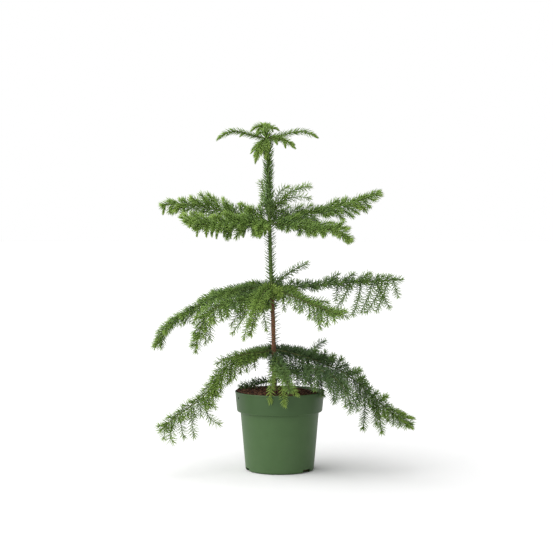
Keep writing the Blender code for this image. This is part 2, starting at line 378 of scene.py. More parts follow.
heap = []
for i in range(heap_rings):
    radius = min(soil_radius * (i + 0.02) / (heap_rings - 1), soil_radius)
    for k in range(heap_spokes):
        angle = 2 * math.pi * k / heap_spokes
        x, y = radius * math.cos(angle), radius * math.sin(angle)
        heap.append((x, y, soil_height(x, y)))
plug_side = [
    (0.0, 0.125),
    (0.0700, 0.125),
    (0.0695, collar_foot + 0.003),
    (0.0640, collar_foot - 0.002),
    (0.0560, 0.006),
    (0.0520, 0.0024),
    (0.0, 0.0024),
]
plug = turn("soil_plug", plug_side, 64)
apply_modifiers(plug)

earth, shader, wires = new_material("potting_mix", {"Roughness": 0.95, "Specular IOR Level": 0.2})
crumbs = wires.noise(place_of(wires), 420.0, 5.0, 0.7)
patches = wires.noise(place_of(wires), 70.0, 3.0)
dampness = crumbs * 0.6 + patches * 0.5 - 0.05
connect(shader, "Base Color", dampness.blend((0.020, 0.010, 0.006, 1.0), (0.120, 0.054, 0.028, 1.0)))
relief = {"Strength": 0.8, "Distance": 0.0012, "Height": crumbs}
connect(shader, "Normal", wires.node('ShaderNodeBump', {}, relief))

soil = build_mesh("soil_heap", np.array(heap), strip_faces(heap_rings, heap_spokes), earth)
plug.data.materials.clear()
plug.data.materials.append(earth)
for piece in (soil, plug):
    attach(piece, "root")
    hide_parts("soil")


def random_turns(dice, count):
    """Rotation matrices spread evenly over all attitudes."""
    four = dice.normal(size=(count, 4))
    w, x, y, z = (four / np.linalg.norm(four, axis=1, keepdims=True)).T
    return np.stack([
        np.stack([1 - 2 * (y * y + z * z), 2 * (x * y - z * w), 2 * (x * z + y * w)], -1),
        np.stack([2 * (x * y + z * w), 1 - 2 * (x * x + z * z), 2 * (y * z - x * w)], -1),
        np.stack([2 * (x * z - y * w), 2 * (y * z + x * w), 1 - 2 * (x * x + y * y)], -1)], 1)


def scatter_on_soil(dice, count):
    angle = dice.uniform(0, 2 * math.pi, count)
    radius = chip_reach * np.sqrt(dice.uniform(0, 1, count))
    x, y = radius * np.cos(angle), radius * np.sin(angle)
    return np.array([(a, b, soil_height(a, b)) for a, b in zip(x, y)])


pebble = bmesh.new()
bmesh.ops.create_icosphere(pebble, subdivisions=1, radius=0.5)
pebble_points = np.array([tuple(vertex.co) for vertex in pebble.verts])
pebble_faces = np.array([[vertex.index for vertex in face.verts] for face in pebble.faces])
pebble.free()

# kind of chip: its colour, its share of all the chips
chip_kinds = {
    "chips_dark": ((0.028, 0.014, 0.009, 1.0), 0.40),
    "chips_red": ((0.135, 0.058, 0.030, 1.0), 0.38),
    "chips_tan": ((0.210, 0.118, 0.064, 1.0), 0.22),
}
for kind, (colour, portion) in chip_kinds.items():
    count = int(chip_count * portion)
    places = scatter_on_soil(soil_dice, count)
    sizes = np.stack([soil_dice.gamma(4.0, size, count) for size in chip_size], -1)
    sizes = sizes.clip(smallest_chip, largest_chip)
    rough = pebble_points[None] * soil_dice.uniform(0.75, 1.25, (count, len(pebble_points), 1))
    turned = np.einsum("nij,nkj->nki", random_turns(soil_dice, count), rough * sizes[:, None, :])
    lift = np.zeros((count, 1, 3))
    lift[:, 0, 2] = soil_dice.uniform(-0.0003, 0.0009, count)
    points = (turned + places[:, None, :] + lift).reshape(-1, 3)
    outside = np.maximum(1.0, np.hypot(points[:, 0], points[:, 1]) / (soil_radius + 0.0002))
    points[:, :2] /= outside[:, None]
    faces = pebble_faces[None] + (np.arange(count) * len(pebble_points))[:, None, None]
    stuff, shader, wires = new_material(kind, {"Roughness": 0.9, "Specular IOR Level": 0.2})
    tint = wires.noise(place_of(wires), 300.0, 3.0)
    dark = tuple(value * 0.45 for value in colour[:3]) + (1.0,)
    connect(shader, "Base Color", tint.blend(dark, colour))
    chips = build_mesh(kind, points, faces.reshape(-1, 3), stuff, smooth=False)
    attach(chips, "root")
    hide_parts("soil")


# The stem.  One slender leader that flares a little at the roots.  It is brown and corky low down and
# green higher up, with the lozenges that the bases of its needles leave on it.
stem_foot = 0.1335
stem_tip = 0.573
# height on the stem, how far its centre is off along X
stem_line = ((0.135, -0.009), (0.150, -0.009), (0.250, -0.011), (0.350, -0.0155),
             (0.500, -0.0192), (0.545, -0.0196), (0.573, -0.0226))
stem_radius = 0.0039
stem_tip_radius = 0.0021
flare = 0.0020
flare_height = 0.006
stem_rings = 900
stem_around = 28
left_rows = 5
right_rows = 3
lozenge_height = 0.0032
lozenge_depth = 0.00022
green_from = 0.302


def stem_centre(height):
    heights, offsets = zip(*stem_line)
    height = np.asarray(height, dtype=float)
    offset = np.interp(height, heights, offsets)
    return np.stack([offset, 0.0 * height, height], axis=-1)


def stem_radius_at(height):
    share = (height - stem_foot) / (stem_tip - stem_foot)
    spread = flare * np.exp(-(height - stem_foot) / flare_height)
    return stem_radius + share * (stem_tip_radius - stem_radius) + spread


heights = np.linspace(stem_foot, stem_tip, stem_rings)
angles = np.arange(stem_around) * 2 * math.pi / stem_around
climb = 2 * math.pi * heights[:, None] / lozenge_height
left_hand = np.cos(left_rows * angles[None, :] + climb)
right_hand = np.cos(right_rows * angles[None, :] - climb)
ridges = lozenge_depth * (left_hand + right_hand) * np.clip((stem_tip - heights) / 0.02, 0, 1)[:, None]
radii = stem_radius_at(heights)[:, None] + ridges
radii[-1] *= 0.1
centre = stem_centre(heights)
outward = np.stack([np.cos(angles), np.sin(angles), 0 * angles], -1)
shell = centre[:, None, :] + radii[:, :, None] * outward[None]

bark, shader, wires = new_material("stem_bark", {"Roughness": 0.8, "Specular IOR Level": 0.3})
fine = wires.noise(place_of(wires, (1.0, 1.0, 0.4)), 700.0, 4.0)
broad = wires.noise(place_of(wires), 45.0, 3.0)
height = wires.node('ShaderNodeSeparateXYZ', {}, {0: place_of(wires)}, output=2)
youth_and_light = ((height - green_from) * 30.0 + (broad - 0.5) * 1.6 + 0.5).clipped()
brown = fine.blend((0.090, 0.038, 0.019, 1.0), (0.31, 0.150, 0.082, 1.0))
sap_green = fine.blend((0.058, 0.098, 0.022, 1.0), (0.13, 0.19, 0.05, 1.0))
connect(shader, "Base Color", youth_and_light.blend(brown, sap_green))
relief = {"Strength": 0.5, "Distance": 0.0003, "Height": fine}
connect(shader, "Normal", wires.node('ShaderNodeBump', {}, relief))
stem = build_mesh("stem", shell.reshape(-1, 3), strip_faces(stem_rings, stem_around), bark)
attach(stem, "root")
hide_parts("trunk")


# The boughs.  Each is one arching axis of green wood with a row of shoots down either side.  All grow
# by one rule: an axis starts at an azimuth and a pitch and bends evenly towards others on its way to
# its tip.  The rows of the old tiers hang and those of the young tiers rise.

# bough: height on the stem, length, azimuths, pitches (evenly spaced from stem to tip)
boughs = {
    "base_left": (0.151, 0.060, (168, 172), (-14, -16, -4)),
    "base_right": (0.166, 0.190, (-38, -42), (4, 10, -26, -78)),
    "low_left": (0.203, 0.248, (196, 208, 212), (-18, 0, -43, -54, -32, -29, -40)),
    "low_left_back": (0.200, 0.105, (165, 160), (-8, -8, -30)),
    "low_far": (0.203, 0.165, (114, 108), (-6, -13, -18)),
    "low_back": (0.201, 0.165, (60, 48), (-4, -12, -15)),
    "low_right": (0.203, 0.267, (-8, -20), (-11, -15, -23, -41, -40, -18)),
    "low_front": (0.196, 0.128, (280, 286), (-15, -15, -50)),
    "middle_left": (0.307, 0.226, (186, 192), (-2, -8, -30, -30, -88)),
    "middle_left_front": (0.304, 0.204, (222, 212), (-24, -11, -5, -58, -88)),
    "middle_front": (0.307, 0.142, (250, 258), (0, -36, -52)),
    "middle_right_front": (0.305, 0.155, (310, 325), (-10, -16, -15)),
    "middle_right": (0.307, 0.225, (15, 5), (-2, 5, 4, 2)),
    "middle_back_right": (0.309, 0.119, (65, 50), (19, 18, 12)),
    "middle_back": (0.307, 0.165, (98, 96), (0, -12, -35)),
    "middle_back_left": (0.304, 0.146, (140, 150), (26, -14, -16, -13)),
    "upper_right": (0.416, 0.200, (20, 10), (15, 12, 12, 25)),
    "upper_back_right": (0.419, 0.138, (60, 50), (50, 36, 16, 2)),
    "upper_back_left": (0.418, 0.090, (108, 102), (60, 54, 30)),
    "upper_left": (0.416, 0.188, (165, 175), (24, 9, 11, 8, -6)),
    "upper_left_front": (0.413, 0.157, (215, 205), (3, -6, 4, 10)),
    "upper_front": (0.416, 0.076, (252, 262), (-4, -12, -26)),
    "upper_right_front": (0.413, 0.160, (320, 335), (3, -11, -4, 4, -64)),
    "top_right": (0.556, 0.084, (-5, -5), (10, 16, -34)),
    "top_back_right": (0.557, 0.034, (58, 62), (8, 0, -20)),
    "top_back": (0.560, 0.048, (100, 96), (55, 30, -25)),
    "top_left": (0.556, 0.085, (185, 185), (10, 17, -44)),
    "top_front": (0.556, 0.048, (240, 246), (-14, -46, -72)),
    "top_right_front": (0.556, 0.057, (325, 325), (2, -10, -45)),
}
# bough: youth of its needles at its foot and tip (0 dark, 1 lime), then its rows of shoots, left and
# right as seen from the stem.  A row: longest shoot, share of that at the bough's foot, middle and tip,
# angles from the bough near its foot and its tip, pitches of a shoot at its foot and its tip.  The
# youths are partly painted light and shade: low_far's are darker as painted shade, and low_left's and
# those at the feet of middle_front and middle_right_front are lighter as painted light.
shoot_rows = {
    "base_left": ((0.02, 0.14), (0.020, (0.7, 1.0, 0.5), (60, 45), (14, -16)),
                  (0.020, (0.7, 1.0, 0.5), (60, 45), (14, -16))),
    "base_right": ((0.00, 0.25), (0.042, (0.4, 1.0, 0.5), (55, 40), (0, -70)),
                   (0.052, (0.3, 1.0, 0.6), (70, 50), (-10, -88))),
    "low_left": ((0.58, 0.52), (0.036, (0.0, 1.1, 0.22), (80, 72), (-22, -80)),
                 (0.018, (0.3, 0.8, 0.5), (60, 45), (25, -25))),
    "low_left_back": ((0.36, 0.44), (0.015, (1.0, 1.0, 0.2), (70, 50), (-4, -20)),
                      (0.008, (0.0, 0.0, 0.0), (60, 45), (20, -10))),
    "low_far": ((0.10, 0.26), (0.028, (0.5, 1.0, 0.5), (60, 45), (-4, -22)),
                (0.028, (0.5, 1.0, 0.5), (60, 45), (-4, -22))),
    "low_back": ((0.00, 0.10), (0.022, (0.5, 1.0, 0.5), (60, 45), (22, 0)),
                 (0.026, (0.5, 1.0, 0.5), (60, 45), (10, -45))),
    "low_right": ((0.02, 0.52), (0.022, (0.6, 1.0, 0.2), (84, 70), (38, 12)),
                  (0.048, (0.7, 1.0, 0.18), (80, 56), (-40, -85))),
    "low_front": ((0.06, 0.44), (0.020, (0.8, 1.0, 0.4), (60, 45), (0, -70)),
                  (0.020, (0.8, 1.0, 0.4), (60, 45), (0, -70))),
    "middle_left": ((0.36, 0.56), (0.044, (0.7, 1.0, 0.45), (58, 35), (-14, -34)),
                    (0.030, (0.6, 0.9, 0.4), (50, 38), (5, -20))),
    "middle_left_front": ((0.35, 0.60), (0.044, (0.7, 1.0, 0.10), (66, 52), (-12, -55)),
                          (0.034, (0.7, 1.0, 0.10), (52, 40), (-2, -30))),
    "middle_front": ((0.55, 0.66), (0.024, (0.7, 0.55, 0.25), (48, 36), (-12, -60)),
                     (0.030, (0.7, 0.55, 0.25), (48, 36), (-10, -50))),
    "middle_right_front": ((0.55, 0.56), (0.038, (0.7, 1.0, 0.7), (55, 40), (10, -25)),
                           (0.036, (0.3, 0.6, 0.9), (70, 55), (-35, -75))),
    "middle_right": ((0.24, 0.46), (0.022, (0.8, 1.0, 0.5), (60, 45), (26, 8)),
                     (0.024, (1.0, 0.8, 0.1), (50, 70), (-4, -20))),
    "middle_back_right": ((0.30, 0.45), (0.016, (1.0, 0.0, 0.0), (50, 40), (25, 10)),
                          (0.016, (1.0, 0.0, 0.0), (50, 40), (20, 0))),
    "middle_back": ((0.20, 0.40), (0.046, (0.5, 1.0, 0.4), (60, 45), (5, -50)),
                    (0.046, (0.5, 1.0, 0.4), (60, 45), (5, -50))),
    "middle_back_left": ((0.25, 0.40), (0.038, (0.5, 1.0, 0.4), (60, 45), (5, -45)),
                         (0.038, (0.5, 1.0, 0.4), (60, 45), (5, -45))),
    "upper_right": ((0.36, 0.62), (0.028, (0.6, 1.0, 0.25), (58, 38), (18, 5)),
                    (0.042, (0.8, 1.0, 0.22), (62, 40), (-27, -34))),
    "upper_back_right": ((0.48, 0.62), (0.024, (1.0, 0.0, 0.0), (50, 35), (30, 10)),
                         (0.024, (1.0, 0.3, 0.0), (50, 35), (10, -15))),
    "upper_back_left": ((0.42, 0.60), (0.024, (0.9, 0.4, 0.0), (62, 40), (34, 10)),
                        (0.024, (0.9, 0.4, 0.0), (62, 40), (34, 10))),
    "upper_left": ((0.42, 0.66), (0.046, (0.9, 1.0, 0.24), (62, 40), (-30, -48)),
                   (0.034, (0.8, 1.0, 0.20), (66, 42), (40, 12))),
    "upper_left_front": ((0.42, 0.66), (0.034, (0.8, 1.0, 0.7), (66, 50), (-6, -30)),
                         (0.038, (0.9, 1.0, 0.7), (58, 44), (36, 16))),
    "upper_front": ((0.44, 0.60), (0.015, (0.6, 0.8, 0.4), (50, 34), (10, -40)),
                    (0.015, (0.6, 0.8, 0.4), (50, 34), (10, -40))),
    "upper_right_front": ((0.36, 0.62), (0.038, (0.8, 1.0, 0.2), (55, 38), (24, 5)),
                          (0.022, (0.6, 0.9, 1.0), (60, 45), (-5, -30))),
    "top_left": ((0.46, 0.62), (0.008, (0.0, 0.0, 0.0), (50, 40), (0, -35)),
                 (0.008, (0.0, 1.0, 0.0), (50, 40), (0, -35))),
    "top_right": ((0.46, 0.62), (0.008, (0.0, 1.0, 0.0), (50, 40), (0, -35)),
                  (0.008, (0.0, 0.0, 0.0), (50, 40), (0, -35))),
    "top_back_right": ((0.50, 0.66), (0.008, (0.0, 0.0, 0.0), (50, 40), (0, -35)),
                       (0.008, (0.0, 0.0, 0.0), (50, 40), (0, -35))),
    "top_right_front": ((0.52, 0.68), (0.012, (0.7, 1.0, 0.7), (50, 40), (0, -35)),
                        (0.014, (0.7, 1.0, 0.7), (50, 40), (-10, -50))),
    "top_back": ((0.54, 0.66), (0.022, (1.0, 0.9, 0.6), (80, 60), (10, -60)),
                 (0.022, (1.0, 0.9, 0.6), (80, 60), (10, -60))),
    "top_front": ((0.54, 0.68), (0.022, (1.0, 0.9, 0.7), (60, 40), (-16, -70)),
                  (0.022, (1.0, 0.9, 0.7), (60, 40), (-16, -70))),
}
# Single shoots out of line with the rows: bough, place along it, length, azimuths, pitches, and the
# form of their needles where it isn't that of the bough
lone_shoots = (
    ("low_left", 0.14, 0.024, (250, 262), (-60, -84)),
    ("low_left", 0.18, 0.030, (240, 256), (-50, -84)),
    ("low_left", 0.22, 0.032, (235, 250), (-50, -80)),
    ("low_left", 0.26, 0.038, (240, 256), (-46, -80)),
    ("low_left", 0.30, 0.040, (250, 262), (-40, -76), "dense"),
    ("low_left", 0.36, 0.042, (245, 250), (-30, -70), "dense"),
    ("low_left", 0.42, 0.040, (240, 250), (-30, -72), "dense"),
    ("low_left", 0.47, 0.034, (240, 250), (-30, -72), "dense"),
    ("low_left", 0.62, 0.060, (300, 320, 340), (-88, -59, -6)),
    ("low_left", 0.64, 0.032, (310, 335), (-27, -21)),
    ("low_left", 0.58, 0.024, (310, 335), (-20, -10)),
    ("low_left", 0.735, 0.052, (280, 290), (-81, -70, -50)),
    ("low_left", 0.82, 0.040, (290, 310), (-88, -75, -57)),
    ("low_left", 0.86, 0.048, (250, 240, 320), (-52, -56, -40)),
    ("low_left", 0.92, 0.030, (240, 250), (-27, -88)),
    ("low_front", 0.06, 0.058, (262, 256), (-66, -86)),
    ("low_front", 0.20, 0.090, (262, 254), (-16, -50, -88), "young"),
    ("low_front", 0.52, 0.066, (285, 280), (-84, -50), "young"),
    ("low_front", 0.54, 0.054, (310, 320), (-60, -40), "young"),
    ("low_front", 0.30, 0.050, (320, 335), (-14, -50)),
    ("low_back", 0.71, 0.038, (30, 20), (63, 44, 16), "dense"),
    ("low_right", 0.22, 0.052, (282, 300), (-50, -80)),
    ("low_right", 0.26, 0.018, (300, 320), (62, 56)),
    ("low_right", 0.29, 0.060, (282, 300), (-54, -82)),
    ("low_right", 0.31, 0.020, (60, 40), (56, 50)),
    ("low_right", 0.37, 0.020, (300, 320), (64, 54)),
    ("low_right", 0.38, 0.062, (280, 300), (-58, -82)),
    ("low_right", 0.42, 0.020, (30, 20), (60, 50)),
    ("low_right", 0.60, 0.036, (350, 0), (60, 26)),
    ("low_right", 0.64, 0.066, (270, 250), (-88, -82, -60)),
    ("low_right", 0.70, 0.050, (290, 300), (-60, -78)),
    ("low_right", 0.74, 0.056, (280, 290), (-55, -64, -72)),
    ("low_right", 0.76, 0.016, (330, 350), (52, 26)),
    ("low_right", 0.83, 0.028, (350, 345), (-6, -18), "finger"),
    ("low_right", 0.86, 0.028, (328, 335), (-34, -26), "finger"),
    ("low_right", 0.90, 0.026, (345, 342), (4, -12), "finger"),
    ("low_right", 0.92, 0.026, (330, 336), (-40, -30), "finger"),
    ("upper_right", 0.06, 0.034, (40, 22), (52, 30), "fan"),
    ("upper_right", 0.15, 0.034, (34, 20), (46, 24), "fan"),
    ("upper_right", 0.25, 0.030, (30, 20), (40, 24), "fan"),
    ("upper_left", 0.07, 0.028, (150, 165), (52, 32), "fan"),
    ("upper_left", 0.18, 0.018, (262, 255), (44, 40), "fan"),
    ("upper_left", 0.38, 0.022, (252, 240), (46, 40), "fan"),
    ("upper_left", 0.50, 0.034, (120, 150), (52, 40), "fan"),
    ("upper_left", 0.56, 0.030, (235, 215), (50, 44), "fan"),
    ("upper_left", 0.60, 0.028, (195, 188), (40, 26), "fan"),
    ("upper_left", 0.80, 0.014, (258, 262), (-58, -76), "claw"),
    ("upper_left", 0.87, 0.014, (262, 258), (-58, -76), "claw"),
    ("upper_left", 0.93, 0.013, (258, 262), (-58, -76), "claw"),
    ("upper_left", 0.985, 0.016, (250, 240), (-50, -72), "claw"),
    ("upper_front", 0.30, 0.018, (262, 258), (-45, -80), "claw"),
    ("upper_front", 0.60, 0.018, (235, 250), (-45, -80), "claw"),
    ("upper_left_front", 0.10, 0.019, (270, 262), (-40, -80), "claw"),
    ("upper_left_front", 0.22, 0.018, (262, 270), (-40, -80), "claw"),
    ("upper_left_front", 0.33, 0.019, (265, 260), (-45, -80), "claw"),
    ("upper_left_front", 0.48, 0.020, (262, 258), (-45, -80), "claw"),
    ("upper_left_front", 0.56, 0.016, (270, 262), (-45, -80), "claw"),
    ("upper_left_front", 0.65, 0.020, (262, 255), (-45, -80), "claw"),
    ("upper_left_front", 0.70, 0.017, (268, 262), (-45, -80), "claw"),
    ("upper_left_front", 0.77, 0.018, (265, 270), (-45, -80), "claw"),
    ("upper_left_front", 0.86, 0.019, (262, 250), (-45, -78), "claw"),
    ("upper_back_right", 0.30, 0.066, (45, 20), (30, 10, -14), "open"),
    ("upper_back_right", 0.12, 0.062, (70, 30), (66, 60, 12), "open"),
    ("middle_right_front", 0.70, 0.036, (300, 330), (-75, -80)),
    ("middle_front", 0.03, 0.050, (310, 330, 260), (-30, -40, -85)),
    ("middle_front", 0.03, 0.026, (232, 222), (8, -22), "young"),
    ("middle_front", 0.06, 0.026, (290, 302), (8, -22), "young"),
    ("middle_right_front", 0.12, 0.028, (272, 285), (8, -26), "young"),
    ("middle_left_front", 0.66, 0.044, (280, 270), (-78, -84), "open"),
    ("middle_left_front", 0.73, 0.040, (280, 270), (-78, -84), "open"),
    ("middle_front", 0.25, 0.090, (225, 215), (-14, -58), "loose"),
    ("middle_front", 0.35, 0.092, (228, 222), (-33, -50), "loose"),
    ("middle_front", 0.50, 0.086, (250, 245), (-18, -65), "loose"),
    ("middle_front", 0.42, 0.054, (300, 320), (-70, -80), "loose"),
    ("middle_right", 0.44, 0.030, (60, 30), (44, 24)),
    ("middle_right", 0.52, 0.030, (265, 240), (-60, -72), "comb"),
    ("middle_right", 0.54, 0.030, (20, 40), (40, 20)),
    ("middle_right", 0.68, 0.030, (60, 30), (36, 16)),
    ("middle_right", 0.62, 0.060, (255, 215), (-36, -42, -50), "comb"),
    ("middle_right", 0.70, 0.072, (262, 240), (-53, -48, -42), "comb"),
    ("middle_right", 0.78, 0.070, (255, 232), (-50, -46, -44), "comb"),
    ("middle_right", 0.86, 0.074, (250, 222), (-47, -44, -42), "comb"),
    ("middle_right", 0.91, 0.070, (252, 232), (-45, -45, -48), "comb"),
    ("middle_right", 0.80, 0.060, (284, 322), (-40, -46, -52), "comb"),
    ("middle_right", 0.94, 0.034, (290, 300), (-50, -64), "comb"),
    ("top_back", 0.50, 0.024, (20, 352), (24, -50)),
    ("top_back", 0.75, 0.020, (0, 345), (16, -60)),
    ("top_back", 0.55, 0.024, (172, 190), (24, -50)),
    ("top_front", 0.20, 0.030, (196, 205), (-24, -56)),
    ("top_front", 0.34, 0.028, (212, 225), (-36, -66)),
    ("top_front", 0.45, 0.026, (300, 285), (-40, -72)),
)
# Boughs whose needles aren't of their tier's form
own_forms = {
    "low_left": "sparse",
    "low_left_back": "sparse",
    "low_right": "dense",
    "middle_front": "loose",
    "middle_back_right": "open",
    "upper_back_left": "open",
    "upper_back_right": "open",
}
# How much younger than their bough single shoots are, by form
younger_by = {"young": 0.60, "finger": 0.16, "claw": 0.08, "fan": 0.04}
younger_else = 0.06
# How far apart the shoots of a tier's boughs are, to either side in turn
shoot_gap = {"base": 0.0072, "low": 0.0060, "middle": 0.0054, "upper": 0.0048, "top": 0.0085}
bough_radius = 0.0014
bough_tip_radius = 0.0006
shoot_radius = 0.0006
shoot_tip_radius = 0.00035
bare_length = 0.010
shortest_shoot = 0.006
tip_shoot = 0.010
fullest_at = 0.45
steepest_pitch = -88
shared_slope = 0.3
angle_play = 14
foot_play = 16
tip_play = 18
youth_play = 0.12
growth_dice = np.random.default_rng(2)


def grow(start, length, azimuths, pitches, step=0.0025):
    """Points along an axis whose azimuth and pitch change evenly from its start to its tip."""
    count = max(3, int(round(length / step)))
    share = (np.arange(count) + 0.5) / count
    azimuth = np.radians(np.interp(share, np.linspace(0, 1, len(azimuths)), azimuths))
    pitch = np.radians(np.interp(share, np.linspace(0, 1, len(pitches)), pitches))
    moves = np.stack([np.cos(pitch) * np.cos(azimuth), np.cos(pitch) * np.sin(azimuth), np.sin(pitch)], -1)
    return np.vstack([start, start + np.cumsum(moves * (length / count), axis=0)])


def frames_along(points):
    """Unit headings along an axis, with two unit directions across it that don't twist."""
    heading = np.gradient(points, axis=0)
    heading /= np.linalg.norm(heading, axis=1, keepdims=True)
    upright = np.array([0.0, 0.0, 1.0]) if abs(heading[0, 2]) < 0.9 else np.array([1.0, 0.0, 0.0])
    across = np.cross(heading, upright)
    across /= np.linalg.norm(across, axis=1, keepdims=True)
    return heading, across, np.cross(across, heading)


def tube_arrays(points, radii, around):
    """Points and quads of a round tube along an axis, with a radius for each of its points."""
    heading, across, lift = frames_along(points)
    angles = np.arange(around) * 2 * math.pi / around
    spread = np.cos(angles)[None, :, None] * across[:, None, :]
    spread = spread + np.sin(angles)[None, :, None] * lift[:, None, :]
    shell = points[:, None, :] + spread * np.asarray(radii)[:, None, None]
    return shell.reshape(-1, 3), strip_faces(len(points), around)


def join(arrays):
    """Many small point and face arrays as one pair."""
    points, faces, start = [], [], 0
    for more_points, more_faces in arrays:
        points.append(more_points)
        faces.append(more_faces + start)
        start += len(more_points)
    return np.vstack(points), np.vstack(faces)


def shoot_radii(count):
    return shoot_radius + (shoot_tip_radius - shoot_radius) * np.linspace(0, 1, count)


# points, radii, youth of its needles with painted light and shade, whether it is a bough's own axis, form
# of its needles
shoots = []
for name, (height, length, azimuths, pitches) in boughs.items():
    tier = name.split("_")[0]
    own_form = own_forms.get(name, tier)
    youth_and_light, *rows = shoot_rows[name]
    axis = grow(stem_centre(height), length, azimuths, pitches)
    share = np.linspace(0, 1, len(axis))
    slim = 0.6 if tier == "top" else 1.0
    radii = slim * (bough_radius + (bough_tip_radius - bough_radius) * share)
    shoots.append((axis, radii, np.mean(youth_and_light), True, own_form))
    heading = frames_along(axis)[0]
    reach = bare_length
    side = 1
    while reach < length - shortest_shoot:
        place = reach / length
        longest, shares, angles, (foot_pitch, tip_pitch) = rows[0 if side > 0 else 1]
        i = int(place * (len(axis) - 1))
        forward = math.degrees(math.atan2(heading[i, 1], heading[i, 0]))
        slope = math.degrees(math.asin(heading[i, 2]))
        angle = angles[0] + (angles[1] - angles[0]) * place + growth_dice.uniform(-angle_play, angle_play)
        own_length = longest * np.interp(place, (0.0, fullest_at, 1.0), shares)
        own_length = min(own_length * growth_dice.uniform(0.72, 1.08), tip_shoot + (length - reach))
        start_pitch = shared_slope * slope + foot_pitch + growth_dice.uniform(-foot_play, foot_play)
        bend = min(1.0, own_length / (0.8 * longest))
        end_pitch = start_pitch + (tip_pitch - foot_pitch) * bend + growth_dice.uniform(-tip_play, tip_play)
        end_pitch = max(end_pitch, steepest_pitch)
        out = forward + side * angle
        own_youth = np.interp(place, (0, 1), youth_and_light) + growth_dice.uniform(-youth_play, youth_play)
        if own_length > shortest_shoot:
            line = grow(axis[i], own_length, (out, out - side * growth_dice.uniform(-10, 26)),
                        (start_pitch, (start_pitch + end_pitch) / 2, end_pitch))
            shoots.append((line, shoot_radii(len(line)), own_youth, False, own_form))
        side = -side
        reach += shoot_gap[tier] * growth_dice.uniform(0.8, 1.2)
    for bough, place, own_length, own_azimuths, own_pitches, *kind in lone_shoots:
        if bough == name:
            line = grow(axis[int(place * (len(axis) - 1))], own_length, own_azimuths, own_pitches)
            form = kind[0] if kind else own_form
            own_youth = np.interp(place, (0, 1), youth_and_light) + younger_by.get(form, younger_else)
            shoots.append((line, shoot_radii(len(line)), own_youth, False, form))

spray_nodes = sorted(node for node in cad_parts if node.startswith("spray_"))
bough_nodes = sorted(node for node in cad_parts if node.startswith("bough_"))

wood, shader, wires = new_material("green_wood", {"Roughness": 0.65, "Specular IOR Level": 0.3})
fine = wires.noise(place_of(wires), 500.0, 3.0)
connect(shader, "Base Color", fine.blend((0.075, 0.080, 0.025, 1.0), (0.17, 0.19, 0.065, 1.0)))
axes = join([tube_arrays(points, radii, 8) for points, radii, youth_and_light, main, form in shoots if main])
bough_axes = build_mesh("bough_axes", *axes, wood)
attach(bough_axes, "root")
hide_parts(*bough_nodes)

twig_skin, shader, wires = new_material("twig_skin", {"Roughness": 0.6, "Specular IOR Level": 0.3})
fine = wires.noise(place_of(wires), 400.0, 3.0)
connect(shader, "Base Color", fine.blend((0.09, 0.15, 0.035, 1.0), (0.17, 0.25, 0.07, 1.0)))
twigs = join([tube_arrays(points, radii, 5) for points, radii, youth_and_light, main, form in shoots if not main])
twig_axes = build_mesh("twigs", *twigs, twig_skin)
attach(twig_axes, "root")
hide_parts(*spray_nodes)


# The needles.  Soft curved awls in a spiral round every shoot, closer and more upright towards its
# tip.  Old ones are a dark bluish green and new ones lime, so each stretch of a shoot has one green.
# That green also carries the painted light and shade that is set in the youths of the boughs.
greens = {
    "old": (0.070, 0.120, 0.051, 1.0),
    "dark": (0.098, 0.166, 0.059, 1.0),
    "middling": (0.134, 0.222, 0.063, 1.0),
    "fresh": (0.168, 0.274, 0.057, 1.0),
    "light": (0.224, 0.345, 0.070, 1.0),
    "lime": (0.262, 0.380, 0.076, 1.0),
}
# form, which is a tier's own or a name for a kind of shoot: length of a needle, its angle from the
# shoot at its foot and its tip, needles per metre of shoot, then how long the brush of young needles
# at a shoot's tip is and how far it closes
needle_forms = {
    "base": (0.0114, (84, 62), 1300, 0.006, 0.35),
    "low": (0.0126, (84, 60), 1450, 0.006, 0.35),
    "dense": (0.0128, (82, 56), 2000, 0.008, 0.35),
    "sparse": (0.0126, (82, 58), 1350, 0.008, 0.40),
    "young": (0.0110, (78, 50), 1400, 0.012, 0.50),
    "finger": (0.0108, (62, 34), 2200, 0.018, 0.55),
    "middle": (0.0122, (76, 48), 1450, 0.007, 0.40),
    "upper": (0.0136, (66, 34), 1700, 0.010, 0.50),
    "loose": (0.0112, (78, 52), 1250, 0.010, 0.45),
    "comb": (0.0112, (86, 62), 1500, 0.005, 0.35),
    "open": (0.0120, (74, 52), 1150, 0.008, 0.40),
    "fan": (0.0150, (74, 42), 1250, 0.012, 0.40),
    "claw": (0.0080, (36, 16), 2100, 0.006, 0.50),
    "top": (0.0106, (64, 38), 2000, 0.016, 0.72),
}
needle_width = 0.00125
golden_angle = math.radians(137.5)
needle_stations = np.array([0.0, 0.6, 1.0])
needle_taper = 0.95
bough_bare = 0.006
shoot_bare = 0.0015
tip_crowding = 0.7
tip_shortening = 0.30
tip_thinning = 0.15
tip_youth = 0.14
faces_per_needle = 10
piece_limit = 195000


